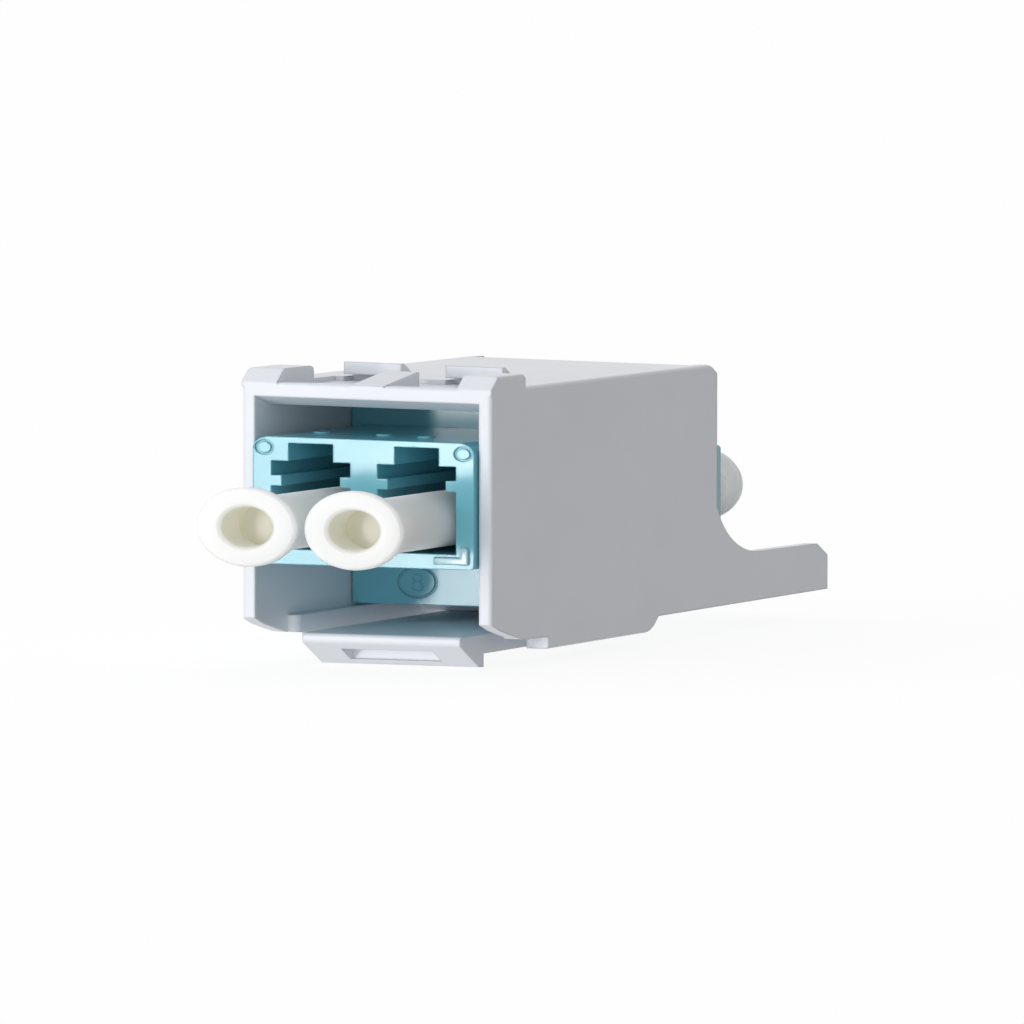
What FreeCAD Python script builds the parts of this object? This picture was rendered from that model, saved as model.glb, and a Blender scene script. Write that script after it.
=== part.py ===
import FreeCAD, Part
import math
import os

# Keystone module with a duplex LC adapter, millimetres.
# X runs across the module, Y runs back from the front plane, Z runs up from the fibre axes.

# keystone housing
WIDTH = 14.75
WALL = 0.755
TOP_Z = 9.875
CEILING_Z = 8.1
MOUTH_TOP_Z = 8.85
MOUTH_BEVEL_DEPTH = 1.85
FLOOR_Z = -7.65
FLOOR_UNDER_Z = -8.84
RAIL_UNDER_Z = -9.97
RAIL_START_Y = 3.7
RAIL_END_Y = 19.05
RAIL_INNER_X = 6.05
RAIL_FRONT_Y = 6.83
CHIN_PROFILE = [(0, -7.53), (1.0, -8.05), (2.3, -8.5), (3.4, -8.85), (4.3, -9.0)]
RAIL_FRONT_PROFILE = [(RAIL_FRONT_Y, -9.05), (RAIL_FRONT_Y, RAIL_UNDER_Z)]
RAIL_TAIL_PROFILE = [(RAIL_END_Y, RAIL_UNDER_Z), (19.85, -9.5), (20.45, FLOOR_UNDER_Z)]
TOP_WALL_END_Y = 25.95
BODY_END_Y = 27.85
REAR_CHAMFER_PROFILE = [(BODY_END_Y, 9.15), (26.95, TOP_Z)]
TOP_EDGE_R = 0.3
FRONT_EDGE_R = 0.2
RAIL_NOSE_R = 0.5
RAIL_EDGE_R = 0.2

# rear tray
TRAY_END_Y = 42.38
TRAY_TOP_Z = -5.1
TRAY_TOP_FALL = 0.05
TRAY_CHAMFER_Y = 41.0
TRAY_END_TOP_Z = -6.15
TRAY_SWEEP_R = 6.0
TRAY_SWEEP_Y = 33.5

# panel hooks and stops on the top face
LIP_INNER_X = 5.3
LIP_TOP_Z = 10.84
LIP_BACK_Y = 4.22
LIP_FRONT_RUN = 0.85
LIP_BACK_R = 0.45
LIP_SIDE_R = 0.2
WEDGE_HALF = 0.98
WEDGE_TOP_Z = 10.66
WEDGE_TOP_Y = 4.05
WEDGE_BACK_Y = 4.15
RECESS_FLOOR_Z = 9.55
RECESS_START_Y = 0.95
STOP_X = (1.31, 4.75)
STOP_FRONT_Y = 6.6
STOP_TOP_Z = 10.97
STOP_FLAT = 0.25
STOP_END_Y = 8.3
POCKET_END_Y = 7.6
POCKET_TOP_Z = 10.05

# hidden ribs in the housing that hold the adapter's flange
ROOF_RIB_X = (3.2, 3.9)
FLOOR_RIB_X = (6.15, 6.5)
RIB_START_Y = 15.6
RIB_INSET = 0.4
BACK_STOP_INNER_X = 5.9
BACK_STOP_T = 1.2
BACK_STOP_TOP_FROM_Z = 4.0
BACK_STOP_LOW_TO_Z = -6.2
NIB_X = (0.8, 2.4)
NIB_START_Y = 10.0
NIB_TIP_Y = (10.75, 10.95)
NIB_TIP_Z = 7.25

# latch tongue
TONGUE_HALF = 4.69
TONGUE_TOP_Z = -8.70
TONGUE_UNDER_Z = -10.16
TONGUE_FRONT_Y = 1.6
TONGUE_NOSE_Z = -9.35
CATCH_TIP_Z = -11.15
CATCH_TIP_Y = 3.95
CATCH_BACK_Y = 4.4
TONGUE_ROOT_Y = 18.2
ROOT_CLEARANCE = 0.05
TONGUE_NOSE_R = 0.3
PRY_SLOT_HALF = 2.7
PRY_SLOT_Z = (-10.72, -9.87)
PRY_SLOT_BACK_Y = 3.62

# duplex adapter
ADAPTER_WIDTH = 13.05
ADAPTER_TOP_Z = 5.93
ADAPTER_BOTTOM_Z = -3.44
ADAPTER_FRONT_Y = -0.40
ADAPTER_REAR_Y = 30.07
FLANGE_FRONT_Y = 11.0
FLANGE_HALF_HEIGHT = 7.45
PORT_PITCH = 6.25
PORT_SIZE = 4.65
NECK_WIDTH = 3.44
SHOULDER_SLOT = (3.10, 4.17)
KEY_SLOT_WIDTH = 2.62
KEY_SLOT_TOP = 5.50
CATCH_RECESS_START_Y = 5.0
CATCH_RECESS_RISE = 0.7
BODY_TOP_R = 0.9
BODY_LOW_R = 0.3
PARTITION = 1.3
BARREL_OD = 2.8
BARREL_TIP = 4.1
LEAD_IN_R = (0.7, 0.95)
SLEEVE_PLAY = 0.02
SLEEVE_OD = 1.60
SLEEVE_ID = 1.25
SLEEVE_LENGTH = 6.8
SLEEVE_SLIT = 0.2

# mould marks and small raised forms on each adapter half
CORNER_RING = (5.87, 5.13)
CORNER_RING_R = (0.55, 0.4)
FLANGE_RING = (-2.62, -5.76)
FLANGE_RING_R = (1.2, 1.05)
RING_DEPTH = 0.1
TOP_PADS = [(-4.4, 3.4), (-0.7, 3.4), (2.0, 2.9)]
TOP_PAD_R = 0.45
TOP_PAD_RISE = 0.12
BEAD_FOOT_X = (4.2, 6.2)
BEAD_FOOT_Z = (-3.05, -2.55)
BEAD_POST_X = 5.8
BEAD_POST_TOP_Z = -1.8
BEAD_RISE = 0.15

# dust plugs
PLUG_LENGTH = 17.6
PLUG_TUBE_D = 4.1
PLUG_FLANGE_D = 5.8
PLUG_FLANGE_T = 0.55
PLUG_POCKET_D = 3.0
PLUG_POCKET_DEPTH = 2.2
PLUG_WEB = 1.2
PLUG_BORE_D = 2.9
PLUG_RIM_CHAMFER = 0.15
PLUG_MOUTH_CHAMFER = 0.2
PLUG_TIP_TAPER = (0.25, 0.4)
PLUG_RIB_T = 0.5
PLUG_RIB_START = 14.0
PLUG_RIB_END = 16.6
PLUG_RIB_CLEARANCE = 0.04
FRONT_PLUG_FACE_Y = -7.80
REAR_PLUG_FACE_Y = 34.14

# how far a cutting or joining form runs past a face, and how near counts as on it
CUT_OVER = 0.1
NEAR = 0.01

HALF = WIDTH / 2.0
INNER = HALF - WALL
MID_Y = (ADAPTER_FRONT_Y + ADAPTER_REAR_Y) / 2.0
V = FreeCAD.Vector


def box(x0, x1, y0, y1, z0, z1):
    return Part.makeBox(x1 - x0, y1 - y0, z1 - z0, V(x0, y0, z0))


def rod(x, z, y0, y1, radius):
    return Part.makeCylinder(radius, y1 - y0, V(x, y0, z), V(0, 1, 0))


def cross_prism(points, x0, x1):
    """Extrude a closed (y, z) outline from x0 to x1."""
    corners = [V(x0, y, z) for y, z in points]
    corners.append(corners[0])
    return Part.Face(Part.makePolygon(corners)).extrude(V(x1 - x0, 0, 0))


def fillet_where(solid, radius, wanted):
    """Round the edges whose middle point passes the test."""
    edges = [e for e in solid.Edges if wanted(e, e.CenterOfMass)]
    return solid.makeFillet(radius, edges)


def runs_along(edge, axis):
    d = edge.Vertexes[-1].Point.sub(edge.Vertexes[0].Point)
    length = d.Length
    return length > 1e-6 and abs(abs(d.dot(axis)) - length) < 1e-6


def mirrored(solid):
    return solid.mirror(V(0, 0, 0), V(1, 0, 0))


def side_outline():
    """The outer side wall, with its tray behind and the sweep that joins them."""
    sweep_low = TRAY_TOP_Z + TRAY_TOP_FALL
    sweep_z = sweep_low + TRAY_SWEEP_R
    drop = math.sqrt(TRAY_SWEEP_R ** 2 - (TRAY_SWEEP_Y - BODY_END_Y) ** 2)
    start = V(-HALF, TRAY_SWEEP_Y, sweep_low)
    end = V(-HALF, BODY_END_Y, sweep_z - drop)
    middle = V(-HALF, TRAY_SWEEP_Y, sweep_z) + V(0, -1, -1) * (TRAY_SWEEP_R / math.sqrt(2))
    chamfer_z = TRAY_TOP_Z - TRAY_TOP_FALL
    tray = [(TRAY_END_Y, FLOOR_UNDER_Z), (TRAY_END_Y, TRAY_END_TOP_Z), (TRAY_CHAMFER_Y, chamfer_z)]
    underside = CHIN_PROFILE + RAIL_FRONT_PROFILE + RAIL_TAIL_PROFILE
    outline = REAR_CHAMFER_PROFILE + [(0, TOP_Z)] + underside + tray
    line = [end] + [V(-HALF, y, z) for y, z in outline] + [start]
    edges = [Part.makeLine(a, b) for a, b in zip(line[:-1], line[1:])]
    edges.append(Part.Arc(start, middle, end).toShape())
    return Part.Face(Part.Wire(edges))


def housing_shell():
    body = side_outline().extrude(V(WIDTH, 0, 0))
    body = fillet_where(body, TOP_EDGE_R, lambda e, c: runs_along(e, V(0, 1, 0)) and abs(c.z - TOP_Z) < NEAR)
    under = lambda e, c: runs_along(e, V(0, 1, 0)) and abs(c.z - RAIL_UNDER_Z) < NEAR
    body = fillet_where(body, RAIL_EDGE_R, under)
    body = fillet_where(body, FRONT_EDGE_R, lambda e, c: runs_along(e, V(0, 0, 1)) and abs(c.y) < NEAR)
    bore = box(-INNER, INNER, -1, TRAY_END_Y + 1, FLOOR_Z, CEILING_Z)
    below = CEILING_Z - CUT_OVER
    bevel = cross_prism(
        [(-NEAR, below), (-NEAR, MOUTH_TOP_Z), (MOUTH_BEVEL_DEPTH, CEILING_Z), (MOUTH_BEVEL_DEPTH, below)],
        -INNER, INNER)
    rear_notch = box(-INNER, INNER, TOP_WALL_END_Y, TRAY_END_Y + 1, 0, TOP_Z + 1)
    return body.cut(bore.fuse([bevel, rear_notch]))


def tongue_slot():
    """Open floor for the tongue, the rounded rail ends and the seat of the flexing root."""
    under = RAIL_UNDER_Z - 1
    mouth = box(-INNER, INNER, -1, RAIL_START_Y, under, FLOOR_Z + CUT_OVER)
    slot = box(-RAIL_INNER_X, RAIL_INNER_X, -1, TONGUE_ROOT_Y, under, FLOOR_Z + CUT_OVER)
    pivot_z = (TONGUE_TOP_Z + TONGUE_UNDER_Z) / 2.0
    seat_r = (TONGUE_TOP_Z - TONGUE_UNDER_Z) / 2.0 + ROOT_CLEARANCE
    seat = Part.makeCylinder(seat_r, 2 * RAIL_INNER_X, V(-RAIL_INNER_X, TONGUE_ROOT_Y, pivot_z), V(1, 0, 0))
    return mouth.fuse([slot, seat])


def rail_noses(solid):
    """Round the inner front corner of each floor rail in plan."""
    def nose(e, c):
        near = abs(c.y - RAIL_START_Y) < NEAR and abs(abs(c.x) - RAIL_INNER_X) < NEAR
        return near and runs_along(e, V(0, 0, 1))
    return fillet_where(solid, RAIL_NOSE_R, nose)


def panel_lip():
    """Corner hook with a ramped front and a rounded back edge."""
    foot_z = TOP_Z - 0.4
    front = [(0, foot_z), (0, TOP_Z), (LIP_FRONT_RUN, LIP_TOP_Z)]
    back = [(LIP_BACK_Y, LIP_TOP_Z), (LIP_BACK_Y, foot_z)]
    lip = cross_prism(front + back, LIP_INNER_X, HALF)
    on_back = lambda e, c: abs(c.y - LIP_BACK_Y) < NEAR and abs(c.z - LIP_TOP_Z) < NEAR
    lip = fillet_where(lip, LIP_BACK_R, on_back)
    return fillet_where(lip, LIP_SIDE_R, lambda e, c: abs(c.x - HALF) < NEAR and c.z > LIP_TOP_Z - NEAR)


def centre_wedge():
    foot_z = RECESS_FLOOR_Z
    tip = [(WEDGE_TOP_Y, WEDGE_TOP_Z), (WEDGE_BACK_Y, WEDGE_TOP_Z - 0.1)]
    return cross_prism([(0, foot_z), (0, TOP_Z)] + tip + [(WEDGE_BACK_Y, foot_z)], -WEDGE_HALF, WEDGE_HALF)


def panel_stop():
    """Block behind the hooks that the back of the panel meets."""
    foot_z = TOP_Z - CUT_OVER
    front = [(STOP_FRONT_Y, foot_z), (STOP_FRONT_Y, STOP_TOP_Z), (STOP_FRONT_Y + STOP_FLAT, STOP_TOP_Z)]
    return cross_prism(front + [(STOP_END_Y, TOP_Z), (STOP_END_Y, foot_z)], STOP_X[0], STOP_X[1])


def top_recess():
    """Shallow gap between the hooks, with a pocket that runs back under each panel stop."""
    gap = box(-LIP_INNER_X, LIP_INNER_X, RECESS_START_Y, STOP_FRONT_Y, RECESS_FLOOR_Z, TOP_Z + CUT_OVER)
    pocket = box(STOP_X[0], STOP_X[1], RECESS_START_Y, POCKET_END_Y, RECESS_FLOOR_Z, POCKET_TOP_Z)
    return gap.fuse([pocket, mirrored(pocket)])


def adapter_ribs():
    """Hidden ribs that hold the adapter's flange: crush ribs, back stops and two ceiling nibs."""
    flange_back = 2 * MID_Y - FLANGE_FRONT_Y
    stop_end = flange_back + BACK_STOP_T
    rib_y = (RIB_START_Y, flange_back - RIB_INSET)
    ceiling = CEILING_Z + CUT_OVER
    floor = FLOOR_Z - CUT_OVER
    wall = INNER + CUT_OVER
    one = [
        box(ROOF_RIB_X[0], ROOF_RIB_X[1], rib_y[0], rib_y[1], FLANGE_HALF_HEIGHT, ceiling),
        box(FLOOR_RIB_X[0], FLOOR_RIB_X[1], rib_y[0], rib_y[1], floor, -FLANGE_HALF_HEIGHT),
        box(BACK_STOP_INNER_X, wall, flange_back, stop_end, BACK_STOP_TOP_FROM_Z, ceiling),
        box(BACK_STOP_INNER_X, wall, flange_back, stop_end, floor, BACK_STOP_LOW_TO_Z)]
    nib = [
        (NIB_START_Y, ceiling), (NIB_START_Y, CEILING_Z), (NIB_TIP_Y[0], NIB_TIP_Z),
        (NIB_TIP_Y[1], NIB_TIP_Z), (NIB_TIP_Y[1], ceiling)]
    one.append(cross_prism(nib, NIB_X[0], NIB_X[1]))
    return one + [mirrored(s) for s in one]


def keystone_housing():
    lip = panel_lip()
    stop = panel_stop()
    shell = housing_shell().cut(tongue_slot())
    shell = rail_noses(shell)
    shell = shell.fuse([stop, mirrored(stop)]).cut(top_recess())
    shell = shell.fuse([lip, mirrored(lip), centre_wedge()] + adapter_ribs())
    return shell.removeSplitter()


def latch_tongue():
    """Flexible latch: a bar with a round root and a ramped catch with a slot for a driver blade."""
    pivot_z = (TONGUE_TOP_Z + TONGUE_UNDER_Z) / 2.0
    radius = (TONGUE_TOP_Z - TONGUE_UNDER_Z) / 2.0
    outline = [
        (TONGUE_FRONT_Y, TONGUE_TOP_Z), (TONGUE_FRONT_Y, TONGUE_NOSE_Z), (CATCH_TIP_Y, CATCH_TIP_Z),
        (CATCH_BACK_Y, CATCH_TIP_Z), (CATCH_BACK_Y, TONGUE_UNDER_Z), (TONGUE_ROOT_Y, TONGUE_UNDER_Z),
        (TONGUE_ROOT_Y, TONGUE_TOP_Z)]
    bar = cross_prism(outline, -TONGUE_HALF, TONGUE_HALF)
    on_nose = lambda e, c: runs_along(e, V(1, 0, 0)) and c.y < CATCH_TIP_Y + NEAR
    bar = fillet_where(bar, TONGUE_NOSE_R, on_nose)
    root = Part.makeCylinder(radius, 2 * TONGUE_HALF, V(-TONGUE_HALF, TONGUE_ROOT_Y, pivot_z), V(1, 0, 0))
    slot = box(-PRY_SLOT_HALF, PRY_SLOT_HALF, 0, PRY_SLOT_BACK_Y, PRY_SLOT_Z[0], PRY_SLOT_Z[1])
    return bar.fuse(root).cut(slot).removeSplitter()


def port_cut(cx):
    """One LC port: plug well, neck, shoulder slot with its catch recess, and key slot."""
    y0 = ADAPTER_FRONT_Y - CUT_OVER
    floor_y = MID_Y - PARTITION
    half = PORT_SIZE / 2.0
    neck_half = NECK_WIDTH / 2.0
    key_half = KEY_SLOT_WIDTH / 2.0
    low, high = SHOULDER_SLOT
    under_roof = high - CUT_OVER
    well = box(cx - half, cx + half, y0, floor_y, -half, half)
    neck = box(cx - neck_half, cx + neck_half, y0, floor_y, half - CUT_OVER, low + CUT_OVER)
    slot = box(cx - half, cx + half, y0, floor_y, low, high)
    catch = box(cx - half, cx + half, CATCH_RECESS_START_Y, floor_y, under_roof, high + CATCH_RECESS_RISE)
    key = box(cx - key_half, cx + key_half, y0, floor_y, under_roof, KEY_SLOT_TOP)
    return well.fuse([neck, slot, catch, key])


def ring_mark(x, z, y, radii):
    """Shallow ejector ring on a face that looks forward."""
    outer, inner = radii
    ring = rod(x, z, y - RING_DEPTH, y + RING_DEPTH, outer)
    return ring.cut(rod(x, z, y - 2 * RING_DEPTH, y + 2 * RING_DEPTH, inner))


def corner_bead():
    """Raised L at the lower outer corner of the port mouth."""
    y0 = ADAPTER_FRONT_Y - BEAD_RISE
    y1 = ADAPTER_FRONT_Y + CUT_OVER
    foot = box(BEAD_FOOT_X[0], BEAD_FOOT_X[1], y0, y1, BEAD_FOOT_Z[0], BEAD_FOOT_Z[1])
    post = box(BEAD_POST_X, BEAD_FOOT_X[1], y0, y1, BEAD_FOOT_Z[0], BEAD_POST_TOP_Z)
    return foot.fuse(post).removeSplitter()


def top_pads():
    """Low round pads on the body's top face."""
    foot_z = ADAPTER_TOP_Z - CUT_OVER
    return [Part.makeCylinder(TOP_PAD_R, TOP_PAD_RISE + CUT_OVER, V(x, y, foot_z)) for x, y in TOP_PADS]


def sleeve_seat(cx):
    """Half of the bore that holds the split sleeve, with the tapered way in through the barrel's tip."""
    sleeve_start = MID_Y - SLEEVE_LENGTH / 2.0 - SLEEVE_PLAY
    tip_y = MID_Y - BARREL_TIP
    seat = rod(cx, 0, sleeve_start, MID_Y + CUT_OVER, SLEEVE_OD / 2.0 + SLEEVE_PLAY)
    small, large = LEAD_IN_R
    lead_in = Part.makeCone(large, small, sleeve_start - tip_y, V(cx, tip_y, 0), V(0, 1, 0))
    return seat.fuse(lead_in)


def adapter_half():
    """One of the two equal mouldings: body, half flange, two ports and their sleeve barrels."""
    half_w = ADAPTER_WIDTH / 2.0
    body = box(-half_w, half_w, ADAPTER_FRONT_Y, FLANGE_FRONT_Y + 0.5, ADAPTER_BOTTOM_Z, ADAPTER_TOP_Z)
    body = fillet_where(body, BODY_TOP_R, lambda e, c: runs_along(e, V(0, 1, 0)) and c.z > 0)
    body = fillet_where(body, BODY_LOW_R, lambda e, c: runs_along(e, V(0, 1, 0)) and c.z < -1)
    flange = box(-half_w, half_w, FLANGE_FRONT_Y, MID_Y, -FLANGE_HALF_HEIGHT, FLANGE_HALF_HEIGHT)
    solid = body.fuse([flange, corner_bead()] + top_pads())
    for cx in (-PORT_PITCH / 2.0, PORT_PITCH / 2.0):
        solid = solid.cut(port_cut(cx))
        solid = solid.fuse(rod(cx, 0, MID_Y - BARREL_TIP, MID_Y - PARTITION + CUT_OVER, BARREL_OD / 2.0))
        solid = solid.cut(sleeve_seat(cx))
    x, z = CORNER_RING
    solid = solid.cut(ring_mark(-x, z, ADAPTER_FRONT_Y, CORNER_RING_R))
    solid = solid.cut(ring_mark(x, z, ADAPTER_FRONT_Y, CORNER_RING_R))
    solid = solid.cut(ring_mark(FLANGE_RING[0], FLANGE_RING[1], FLANGE_FRONT_Y, FLANGE_RING_R))
    return solid.removeSplitter()


def rear_half():
    return adapter_half().rotate(V(0, MID_Y, 0), V(1, 0, 0), 180)


def split_sleeve(cx):
    y0 = MID_Y - SLEEVE_LENGTH / 2.0
    y1 = MID_Y + SLEEVE_LENGTH / 2.0
    tube = rod(cx, 0, y0, y1, SLEEVE_OD / 2.0).cut(rod(cx, 0, y0 - 1, y1 + 1, SLEEVE_ID / 2.0))
    return tube.cut(box(cx - SLEEVE_SLIT / 2.0, cx + SLEEVE_SLIT / 2.0, y0 - 1, y1 + 1, 0, SLEEVE_OD))


def plug_ribs():
    """Four crush ribs along the tube that grip the sides of the port."""
    tube_r = PLUG_TUBE_D / 2.0
    reach = PORT_SIZE / 2.0 - PLUG_RIB_CLEARANCE
    rib = box(-PLUG_RIB_T / 2.0, PLUG_RIB_T / 2.0, PLUG_RIB_START, PLUG_RIB_END, tube_r - CUT_OVER, reach)
    return [rib.rotated(V(0, 0, 0), V(0, 1, 0), 90 * turn) for turn in range(4)]


def dust_plug(cx, face_y, inward):
    """Revolved plug: rimmed head, finger pocket, and a tube that slides over the sleeve barrel."""
    tube_r = PLUG_TUBE_D / 2.0
    rim_r = PLUG_FLANGE_D / 2.0
    bore_r = PLUG_BORE_D / 2.0
    pocket_r = PLUG_POCKET_D / 2.0
    bore_end = PLUG_POCKET_DEPTH + PLUG_WEB
    tip_in, tip_back = PLUG_TIP_TAPER
    outline = [
        (0, PLUG_POCKET_DEPTH), (pocket_r, PLUG_POCKET_DEPTH), (pocket_r, PLUG_MOUTH_CHAMFER),
        (pocket_r + PLUG_MOUTH_CHAMFER, 0), (rim_r - PLUG_RIM_CHAMFER, 0), (rim_r, PLUG_RIM_CHAMFER),
        (rim_r, PLUG_FLANGE_T - 0.1), (rim_r - 0.1, PLUG_FLANGE_T), (tube_r, PLUG_FLANGE_T),
        (tube_r, PLUG_LENGTH - tip_back), (tube_r - tip_in, PLUG_LENGTH), (bore_r, PLUG_LENGTH),
        (bore_r, bore_end), (0, bore_end)]
    corners = [V(r, y, 0) for r, y in outline]
    corners.append(corners[0])
    plug = Part.Face(Part.makePolygon(corners)).revolve(V(0, 0, 0), V(0, 1, 0), 360)
    plug = plug.fuse(plug_ribs())
    if inward < 0:
        plug = plug.rotated(V(0, 0, 0), V(0, 0, 1), 180)
    plug.translate(V(cx, face_y, 0))
    return plug.removeSplitter()


def build():
    left = -PORT_PITCH / 2.0
    right = PORT_PITCH / 2.0
    return {
        "keystone_housing": keystone_housing(),
        "latch_tongue": latch_tongue(),
        "adapter_front_half": adapter_half(),
        "adapter_rear_half": rear_half(),
        "split_sleeve_left": split_sleeve(left),
        "split_sleeve_right": split_sleeve(right),
        "dust_plug_front_left": dust_plug(left, FRONT_PLUG_FACE_Y, 1),
        "dust_plug_front_right": dust_plug(right, FRONT_PLUG_FACE_Y, 1),
        "dust_plug_rear_left": dust_plug(left, REAR_PLUG_FACE_Y, -1),
        "dust_plug_rear_right": dust_plug(right, REAR_PLUG_FACE_Y, -1),
    }


os.makedirs("parts", exist_ok=True)
for node, shape in build().items():
    print(node, "valid", shape.isValid(), "solids", len(shape.Solids), "volume", round(shape.Volume, 2))
    shape.exportStep("parts/" + node + ".step")
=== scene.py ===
import math

import bmesh
import bpy
from mathutils import Matrix, Vector


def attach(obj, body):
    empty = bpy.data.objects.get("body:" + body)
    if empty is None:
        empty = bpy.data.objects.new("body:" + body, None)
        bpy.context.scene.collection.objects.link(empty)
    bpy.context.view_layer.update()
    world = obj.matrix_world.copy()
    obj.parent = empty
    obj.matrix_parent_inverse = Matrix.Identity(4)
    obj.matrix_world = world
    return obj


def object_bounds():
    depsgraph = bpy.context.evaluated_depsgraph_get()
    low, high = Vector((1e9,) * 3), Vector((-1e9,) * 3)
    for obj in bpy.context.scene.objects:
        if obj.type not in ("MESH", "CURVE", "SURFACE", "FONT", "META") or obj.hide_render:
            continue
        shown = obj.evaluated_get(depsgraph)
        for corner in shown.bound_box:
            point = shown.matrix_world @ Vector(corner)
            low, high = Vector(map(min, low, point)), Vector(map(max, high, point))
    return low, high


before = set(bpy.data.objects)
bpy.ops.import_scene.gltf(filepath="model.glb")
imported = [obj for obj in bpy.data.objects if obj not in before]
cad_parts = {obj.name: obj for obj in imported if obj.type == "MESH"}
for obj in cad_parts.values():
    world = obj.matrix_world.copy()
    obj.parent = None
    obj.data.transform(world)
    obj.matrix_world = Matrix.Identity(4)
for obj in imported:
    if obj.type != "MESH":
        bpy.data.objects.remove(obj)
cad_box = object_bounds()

# Looks for a snap-in keystone module that holds a duplex LC fibre adapter.
# Metres, in the frame of the CAD: X across, Y back from the front plane, Z up from the fibre axes.

MM = 0.001

# colours, linear; the pale aqua on the crown of the adapter's corner bead is a painted highlight
WHITE_PLASTIC = (0.745, 0.772, 0.822)
PLUG_PLASTIC = (0.885, 0.882, 0.850)
AQUA_PLASTIC = (0.150, 0.480, 0.585)
AQUA_PAINTED_HIGHLIGHT = (0.420, 0.660, 0.760)
CERAMIC = (0.850, 0.845, 0.800)

# moulded surface: noise scales, per metre, of flow clouds, gloss streaks and grain, how far the roughness
# sways along the streaks, and the grain's depth
FLOW_SCALE = 180.0
STREAK_SCALE = 900.0
GRAIN_SCALE = 3000.0
STREAK_SWAY = 0.012
GRAIN_DEPTH = 0.004 * MM

# ground ceramic: scale of the grinding lines, per metre, how far they are drawn out, and their roughness
GRIND_SCALE = 20000.0
GRIND_DRAW = (1, 0.02, 1)
GRIND_ROUGHNESS = (0.12, 0.2)

# dust plugs: the fibre axes they lie on, the band of radius where the finger pocket's painted shade ends, the
# darker cream painted there as shade, how milky the plastic is, how far light spreads in it and each colour's
# share of that, and its waxy bloom
PORT_X = 3.125 * MM
POCKET_RIM = (1.50 * MM, 1.62 * MM)
POCKET_PAINTED_SHADE = (0.760, 0.750, 0.640)
PLUG_MILK = 1.0
PLUG_MILK_REACH = 1.6 * MM
PLUG_MILK_SPREAD = (1.0, 0.97, 0.90)
PLUG_BLOOM = 1.0
PLUG_BLOOM_ROUGHNESS = 0.5

# cavity number on the flange, a plain 8: its place, and each ring's height over it and radius, in millimetres
NUMBER_X, NUMBER_Y, NUMBER_Z = -2.62 * MM, 11.0 * MM, -5.76 * MM
NUMBER_RINGS = {"cavity_number_top": (0.30, 0.26), "cavity_number_low": (-0.32, 0.32)}
NUMBER_WIRE = 0.05 * MM

# crown of the L-shaped bead: the face it lies on, its path as X and Z in millimetres, its section, the power
# that squares the section (1 is an ellipse), and the share of it left at the two ends
BEAD_Y = -0.54 * MM
BEAD_PATH = ((4.44, -2.80), (5.99, -2.80), (5.99, -2.02))
BEAD_HALF_WIDTH = 0.24 * MM
BEAD_RISE = 0.05 * MM
BEAD_POWER = 0.3
BEAD_TIP = 0.01

# camera that gives the photograph's view: direction, distance and lens of the picture before it was widened
CAMERA_AZIMUTH = 26.561
CAMERA_ELEVATION = 5.565
CAMERA_DISTANCE = 910.5 * MM
CAMERA_LENS = 426.0
CAMERA_SENSOR = 36.0
CAMERA_CLIP = (0.05, 20.0)
CAMERA_TARGET = Vector((0, 14.0, 0)) * MM
CAMERA_SLIDE = (1.4215 * MM, -0.6433 * MM)
PICTURE_STRETCH = 1.385

# strip lamp at the left of the front: at level 1 a surface that faces it shows its own colour
KEY_LEVEL = 0.28
KEY_AZIMUTH = -24.5
KEY_ELEVATION = 5.0
KEY_DISTANCE = 1.0
KEY_SIZE = (0.06, 0.54)

# soft surroundings: the way each large light lies, its brightness there, and how fast it fades with the angle
SKY_LIGHTS = (
    ((0, -1, 0), 0.32, 2.0),
    ((0.5, -0.866, 0), 1.00, 8.0),
    ((-1, 0, 0), 0.80, 1.0),
    ((0, 1, 0), 0.30, 1.0),
    ((0, 0, 1), 0.68, 1.0),
    ((0, -0.6, -0.8), 0.58, 2.0),
)

# floor: half its width, what it shows by itself, and how much of the light on it
FLOOR_HALF = 3.0
FLOOR_GLOW = 0.88
FLOOR_ALBEDO = 0.14


# ---------------------------------------------------------------- node helpers

def node(tree, kind, **values):
    """Add a node; values are its own settings, or sockets by name with underscores for spaces."""
    n = tree.nodes.new(kind)
    for key, value in values.items():
        if hasattr(n, key):
            setattr(n, key, value)
        else:
            n.inputs[key.replace("_", " ")].default_value = value
    return n


def feed(tree, socket, value):
    """Give an input a value of its own, or link it where the value is another node's output."""
    if isinstance(value, bpy.types.NodeSocket):
        tree.links.new(value, socket)
    else:
        socket.default_value = value


def calculate(tree, operation, *values):
    """Result of a Math node; each value is a number or another node's output."""
    n = node(tree, "ShaderNodeMath", operation=operation)
    for socket, value in zip(n.inputs, values):
        feed(tree, socket, value)
    return n.outputs["Value"]


def new_material(name):
    """An empty material, its node tree and the output node."""
    mat = bpy.data.materials.new(name)
    mat.use_nodes = True
    tree = mat.node_tree
    tree.nodes.clear()
    return mat, tree, node(tree, "ShaderNodeOutputMaterial")


def noise(tree, coords, scale, detail, roughness=0.5):
    """Fine cloudy noise over the object's own coordinates."""
    n = node(tree, "ShaderNodeTexNoise", Scale=scale, Detail=detail, Roughness=roughness)
    tree.links.new(coords, n.inputs["Vector"])
    return n.outputs["Fac"]


def remap(tree, value, low, high, from_low=0.3, from_high=0.7):
    """Carry a range of a value over to another, held at its ends; noise stays mostly in the default range."""
    n = node(tree, "ShaderNodeMapRange")
    n.inputs["From Min"].default_value = from_low
    n.inputs["From Max"].default_value = from_high
    n.inputs["To Min"].default_value = low
    n.inputs["To Max"].default_value = high
    tree.links.new(value, n.inputs["Value"])
    return n.outputs["Result"]


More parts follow.
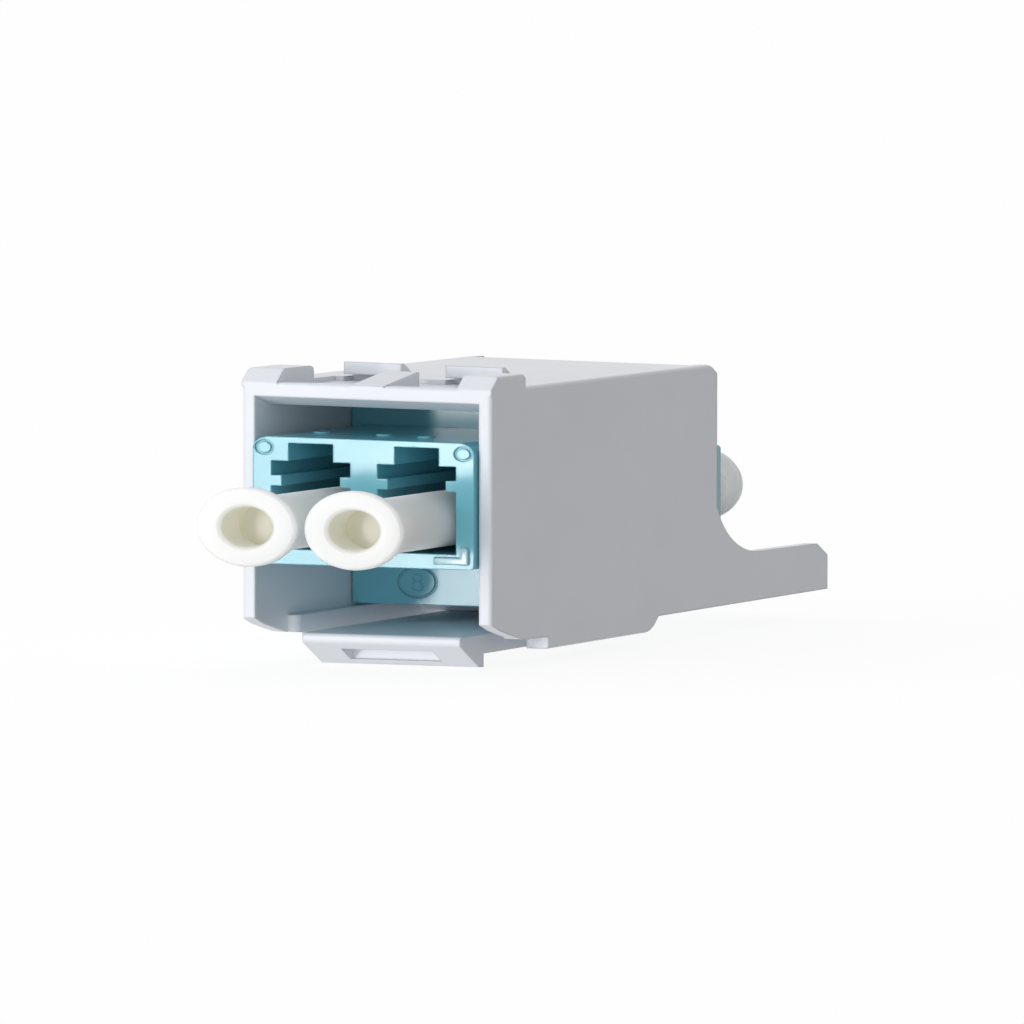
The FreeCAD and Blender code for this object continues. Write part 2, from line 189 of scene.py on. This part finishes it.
def tinted(tree, factor, first, second):
    """Blend two colours by a factor; each is a colour with its alpha or another node's output."""
    n = node(tree, "ShaderNodeMix", data_type="RGBA")
    colour_sockets = [s for s in n.inputs if s.type == "RGBA"]
    feed(tree, colour_sockets[0], first)
    feed(tree, colour_sockets[1], second)
    tree.links.new(factor, n.inputs["Factor"])
    return next(s for s in n.outputs if s.type == "RGBA")


def darker(colour, share):
    """A colour with this share taken off, and its alpha."""
    return (*(c * (1 - share) for c in colour), 1)


def moulded(name, colour, roughness, index=1.5, spread=0.04, grain=0.1, edge=0.22):
    """Injection-moulded plastic: faint flow clouds, fine surface grain, and edges rounded by this many mm."""
    mat, tree, out = new_material(name)
    coords = node(tree, "ShaderNodeTexCoord").outputs["Object"]
    shader = node(tree, "ShaderNodeBsdfPrincipled", IOR=index)
    clouds = remap(tree, noise(tree, coords, FLOW_SCALE, 4.0), 0.0, 1.0)
    shade = tinted(tree, clouds, darker(colour, spread), (*colour, 1))
    tree.links.new(shade, shader.inputs["Base Color"])
    streaks = noise(tree, coords, STREAK_SCALE, 3.0, 0.6)
    gloss = remap(tree, streaks, roughness - STREAK_SWAY, roughness + STREAK_SWAY)
    tree.links.new(gloss, shader.inputs["Roughness"])
    rounded = node(tree, "ShaderNodeBevel", samples=6, Radius=edge * MM)
    bump = node(tree, "ShaderNodeBump", Strength=grain, Distance=GRAIN_DEPTH)
    tree.links.new(noise(tree, coords, GRAIN_SCALE, 2.0, 0.6), bump.inputs["Height"])
    tree.links.new(rounded.outputs["Normal"], bump.inputs["Normal"])
    tree.links.new(bump.outputs["Normal"], shader.inputs["Normal"])
    tree.links.new(shader.outputs["BSDF"], out.inputs["Surface"])
    return mat


def off_axis(tree, coords):
    """Distance from the nearer fibre axis."""
    parts = node(tree, "ShaderNodeSeparateXYZ")
    tree.links.new(coords, parts.inputs["Vector"])
    across = calculate(tree, "SUBTRACT", calculate(tree, "ABSOLUTE", parts.outputs["X"]), PORT_X)
    flat = node(tree, "ShaderNodeCombineXYZ")
    tree.links.new(across, flat.inputs["X"])
    tree.links.new(parts.outputs["Z"], flat.inputs["Z"])
    length = node(tree, "ShaderNodeVectorMath", operation="LENGTH")
    tree.links.new(flat.outputs["Vector"], length.inputs[0])
    return length.outputs["Value"]


def milky_plug():
    """Soft milky plastic that lets light through, with painted shade, a darker cream, inside the finger
    pocket.
    """
    mat = moulded("plug_white", PLUG_PLASTIC, 0.42, spread=0.02, edge=0.12)
    tree = mat.node_tree
    shader = next(n for n in tree.nodes if n.type == "BSDF_PRINCIPLED")
    coords = next(n for n in tree.nodes if n.type == "TEX_COORD").outputs["Object"]
    outside = remap(tree, off_axis(tree, coords), 0.0, 1.0, *POCKET_RIM)
    plain = shader.inputs["Base Color"].links[0].from_socket
    # painted shade: a darker cream inside the finger pocket, blended out towards its rim
    shade = tinted(tree, outside, (*POCKET_PAINTED_SHADE, 1), plain)
    tree.links.new(shade, shader.inputs["Base Color"])
    shader.inputs["Subsurface Weight"].default_value = PLUG_MILK
    shader.inputs["Subsurface Radius"].default_value = PLUG_MILK_SPREAD
    shader.inputs["Subsurface Scale"].default_value = PLUG_MILK_REACH
    shader.inputs["Sheen Weight"].default_value = PLUG_BLOOM
    shader.inputs["Sheen Roughness"].default_value = PLUG_BLOOM_ROUGHNESS
    return mat


def ceramic():
    """Ground zirconia: very smooth, with fine lengthwise grinding lines."""
    mat, tree, out = new_material("zirconia")
    coords = node(tree, "ShaderNodeTexCoord").outputs["Object"]
    along = node(tree, "ShaderNodeMapping", Scale=GRIND_DRAW)
    tree.links.new(coords, along.inputs["Vector"])
    shader = node(tree, "ShaderNodeBsdfPrincipled", IOR=2.1)
    lines = noise(tree, along.outputs["Vector"], GRIND_SCALE, 2.0)
    shade = tinted(tree, lines, darker(CERAMIC, 0.05), (*CERAMIC, 1))
    tree.links.new(shade, shader.inputs["Base Color"])
    tree.links.new(remap(tree, lines, *GRIND_ROUGHNESS), shader.inputs["Roughness"])
    tree.links.new(shader.outputs["BSDF"], out.inputs["Surface"])
    return mat


# ---------------------------------------------------------------- mould marks

def skin(mesh, loops):
    """Join each loop of points to the next with a strip of faces."""
    for near, far in zip(loops, loops[1:]):
        for j in range(len(near)):
            k = (j + 1) % len(near)
            mesh.faces.new((near[j], near[k], far[k], far[j]))


def finish_piece(name, mesh, material, body):
    """Make an object of the mesh, in its material, that moves with its body."""
    bmesh.ops.recalc_face_normals(mesh, faces=mesh.faces)
    data = bpy.data.meshes.new(name)
    mesh.to_mesh(data)
    mesh.free()
    data.shade_smooth()
    data.materials.append(material)
    piece = bpy.data.objects.new(name, data)
    bpy.context.scene.collection.objects.link(piece)
    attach(piece, body)


def ring_piece(name, centre, radius, wire, material, body):
    """A fine raised ring that lies on a face looking forward, drawn as a closed tube."""
    turns, sides = 40, 8
    mesh = bmesh.new()
    loops = []
    for i in range(turns):
        a = 2 * math.pi * i / turns
        radial = Vector((math.cos(a), 0, math.sin(a)))
        middle = centre + radial * radius
        points = []
        for j in range(sides):
            b = 2 * math.pi * j / sides
            back = Vector((0, wire * math.sin(b), 0))
            points.append(mesh.verts.new(middle + radial * wire * math.cos(b) + back))
        loops.append(points)
    skin(mesh, loops + loops[:1])
    finish_piece(name, mesh, material, body)


def cavity_number(material):
    """The mould cavity's number, a plain 8, inside the ring on the flange."""
    for name, (height, radius) in NUMBER_RINGS.items():
        centre = Vector((NUMBER_X, NUMBER_Y, NUMBER_Z + height * MM))
        ring_piece(name, centre, radius * MM, NUMBER_WIRE, material, "module")


def bead_stations():
    """Points along the crown, each with its sideways direction and the share of the section it has there."""
    start, corner, end = (Vector((x * MM, BEAD_Y, z * MM)) for x, z in BEAD_PATH)
    across, along = Vector((1, 0, 0)), Vector((0, 0, 1))
    steps = 4
    turns = [math.pi / 2 * k / steps for k in range(steps)]
    stations = [(start - across * BEAD_HALF_WIDTH * math.cos(a), along, math.sin(a)) for a in turns]
    stations += [(start, along, 1.0), (corner, along - across, 1.0), (end, -across, 1.0)]
    stations += [(end + along * BEAD_HALF_WIDTH * math.cos(a), -across, math.sin(a)) for a in reversed(turns)]
    return stations


def corner_bead(material):
    """The low crown, flat with round edges, along the L-shaped bead at the port's lower corner."""
    out = Vector((0, -1, 0))
    sides = 24
    mesh = bmesh.new()
    loops = []
    for centre, side, swell in bead_stations():
        points = []
        for j in range(sides):
            b = 2 * math.pi * j / sides
            height = math.copysign(abs(math.sin(b)) ** BEAD_POWER, math.sin(b))
            offset = side * BEAD_HALF_WIDTH * math.cos(b) + out * BEAD_RISE * height
            points.append(mesh.verts.new(centre + offset * max(swell, BEAD_TIP)))
        loops.append(points)
    skin(mesh, loops)
    mesh.faces.new(loops[0])
    mesh.faces.new(loops[-1])
    finish_piece("corner_bead_crown", mesh, material, "module")


# ---------------------------------------------------------------- stage

def direction(azimuth, elevation):
    """Unit vector from the object, by degrees round from the front towards +X and degrees up."""
    a, e = math.radians(azimuth), math.radians(elevation)
    return Vector((math.sin(a) * math.cos(e), -math.cos(a) * math.cos(e), math.sin(e)))


def stretched_camera():
    """Camera that widens the picture as the photograph is widened.

    The photograph shows every round form wider than it is by one ratio, so it was widened after it was
    taken. The object here keeps its true proportions, and this camera's sideways axis leans along its view
    axis, which widens the picture in the same way. Any other view takes the camera off its parent, which
    undoes the lean.
    """
    azimuth = math.radians(CAMERA_AZIMUTH)
    back = direction(CAMERA_AZIMUTH, CAMERA_ELEVATION)
    right = Vector((math.cos(azimuth), math.sin(azimuth), 0))
    up = back.cross(right)
    eye = CAMERA_TARGET + back * CAMERA_DISTANCE + right * CAMERA_SLIDE[0] + up * CAMERA_SLIDE[1]
    lean = math.acos(1 / PICTURE_STRETCH)
    leaning = right * math.cos(lean) + back * math.sin(lean)
    basis = Matrix((leaning, up, back)).transposed().to_4x4()
    basis.translation = eye

    data = bpy.data.cameras.new("camera")
    data.lens = CAMERA_LENS
    data.sensor_width = CAMERA_SENSOR
    data.clip_start, data.clip_end = CAMERA_CLIP
    camera = bpy.data.objects.new("camera", data)
    holder = bpy.data.objects.new("camera_holder", None)
    for obj in (camera, holder):
        bpy.context.scene.collection.objects.link(obj)
    camera.parent = holder
    camera.matrix_parent_inverse = basis
    bpy.context.scene.camera = camera


def strip_lamp(name, azimuth, elevation, distance, size, level):
    """A tall narrow softbox aimed at the object, which reaches below the floor's height."""
    data = bpy.data.lights.new(name, "AREA")
    data.shape = "RECTANGLE"
    data.size, data.size_y = size
    data.energy = level * math.pi ** 2 * distance ** 2
    # sampled as a light alone, because a gloss that looks towards its lower part meets the floor first
    data.cycles.use_multiple_importance_sampling = False
    out = direction(azimuth, elevation)
    obj = bpy.data.objects.new(name, data)
    obj.location = CAMERA_TARGET + out * distance
    obj.rotation_euler = out.to_track_quat("Z", "Y").to_euler()
    obj.visible_camera = False
    bpy.context.scene.collection.objects.link(obj)


def background_rays(tree):
    """1 for rays that should see the white background: from the camera, a gloss or a clear part."""
    path = node(tree, "ShaderNodeLightPath")
    seen = calculate(tree, "MAXIMUM", path.outputs["Is Camera Ray"], path.outputs["Is Glossy Ray"])
    return calculate(tree, "MAXIMUM", seen, path.outputs["Is Transmission Ray"])


def sky_level(tree):
    """Brightness of the soft surroundings in each direction."""
    heading = node(tree, "ShaderNodeTexCoord").outputs["Generated"]
    total = 0.0
    for way, level, fading in SKY_LIGHTS:
        cosine = node(tree, "ShaderNodeVectorMath", operation="DOT_PRODUCT")
        cosine.inputs[1].default_value = way
        tree.links.new(heading, cosine.inputs[0])
        clipped = calculate(tree, "MAXIMUM", cosine.outputs["Value"], 0.0)
        faded = calculate(tree, "POWER", clipped, fading)
        total = calculate(tree, "MULTIPLY_ADD", faded, level, total)
    return total


def white_world():
    """Soft surroundings for the light, and plain white where the background is seen."""
    world = bpy.data.worlds.new("studio")
    world.use_nodes = True
    tree = world.node_tree
    tree.nodes.clear()
    out = node(tree, "ShaderNodeOutputWorld")
    soft = node(tree, "ShaderNodeBackground", Color=(1, 1, 1, 1))
    tree.links.new(sky_level(tree), soft.inputs["Strength"])
    white = node(tree, "ShaderNodeBackground", Color=(1, 1, 1, 1), Strength=1.0)
    mix = node(tree, "ShaderNodeMixShader")
    tree.links.new(background_rays(tree), mix.inputs["Fac"])
    tree.links.new(soft.outputs["Background"], mix.inputs[1])
    tree.links.new(white.outputs["Background"], mix.inputs[2])
    tree.links.new(mix.outputs["Shader"], out.inputs["Surface"])
    bpy.context.scene.world = world


def floor_material():
    """Pale floor: nearly white, with the object's soft shadow on it, and clear from below."""
    mat, tree, out = new_material("floor")
    glow = node(tree, "ShaderNodeEmission", Color=(1, 1, 1, 1), Strength=FLOOR_GLOW)
    shade = node(tree, "ShaderNodeBsdfDiffuse", Color=(FLOOR_ALBEDO, FLOOR_ALBEDO, FLOOR_ALBEDO, 1))
    seen = node(tree, "ShaderNodeAddShader")
    tree.links.new(glow.outputs["Emission"], seen.inputs[0])
    tree.links.new(shade.outputs["BSDF"], seen.inputs[1])
    sided = node(tree, "ShaderNodeMixShader")
    tree.links.new(node(tree, "ShaderNodeNewGeometry").outputs["Backfacing"], sided.inputs["Fac"])
    tree.links.new(seen.outputs["Shader"], sided.inputs[1])
    tree.links.new(node(tree, "ShaderNodeBsdfTransparent").outputs["BSDF"], sided.inputs[2])
    tree.links.new(sided.outputs["Shader"], out.inputs["Surface"])
    return mat


def pale_floor():
    """Floor at the object's lowest point. It blocks no light, as the strip lamp reaches below it, and throws
    none up, as the photograph shows none from below."""
    level = cad_box[0].z
    corners = [(x * FLOOR_HALF, y * FLOOR_HALF, level) for x, y in ((-1, -1), (1, -1), (1, 1), (-1, 1))]
    mesh = bpy.data.meshes.new("floor")
    mesh.from_pydata(corners, [], [(0, 1, 2, 3)])
    mesh.materials.append(floor_material())
    obj = bpy.data.objects.new("floor", mesh)
    bpy.context.scene.collection.objects.link(obj)
    obj.visible_shadow = False
    obj.visible_diffuse = False


# ---------------------------------------------------------------- build

housing = moulded("housing_white", WHITE_PLASTIC, 0.34)
aqua = moulded("adapter_aqua", AQUA_PLASTIC, 0.185, index=1.6, edge=0.12)
plug = milky_plug()
zirconia = ceramic()
# by the first word of a node's name
FINISHES = {"keystone": housing, "latch": housing, "adapter": aqua, "dust": plug, "split": zirconia}

for name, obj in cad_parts.items():
    finish = FINISHES[name.split("_")[0]]
    if not obj.data.materials:
        obj.data.materials.append(finish)
    for slot in obj.material_slots:
        slot.material = finish

cavity_number(aqua)
# the crown's paler aqua is a painted highlight
corner_bead(moulded("adapter_aqua_painted_highlight", AQUA_PAINTED_HIGHLIGHT, 0.15, index=1.6, edge=0.08))
stretched_camera()
strip_lamp("key", KEY_AZIMUTH, KEY_ELEVATION, KEY_DISTANCE, KEY_SIZE, KEY_LEVEL)
white_world()
pale_floor()

bpy.context.scene.view_settings.view_transform = "Standard"
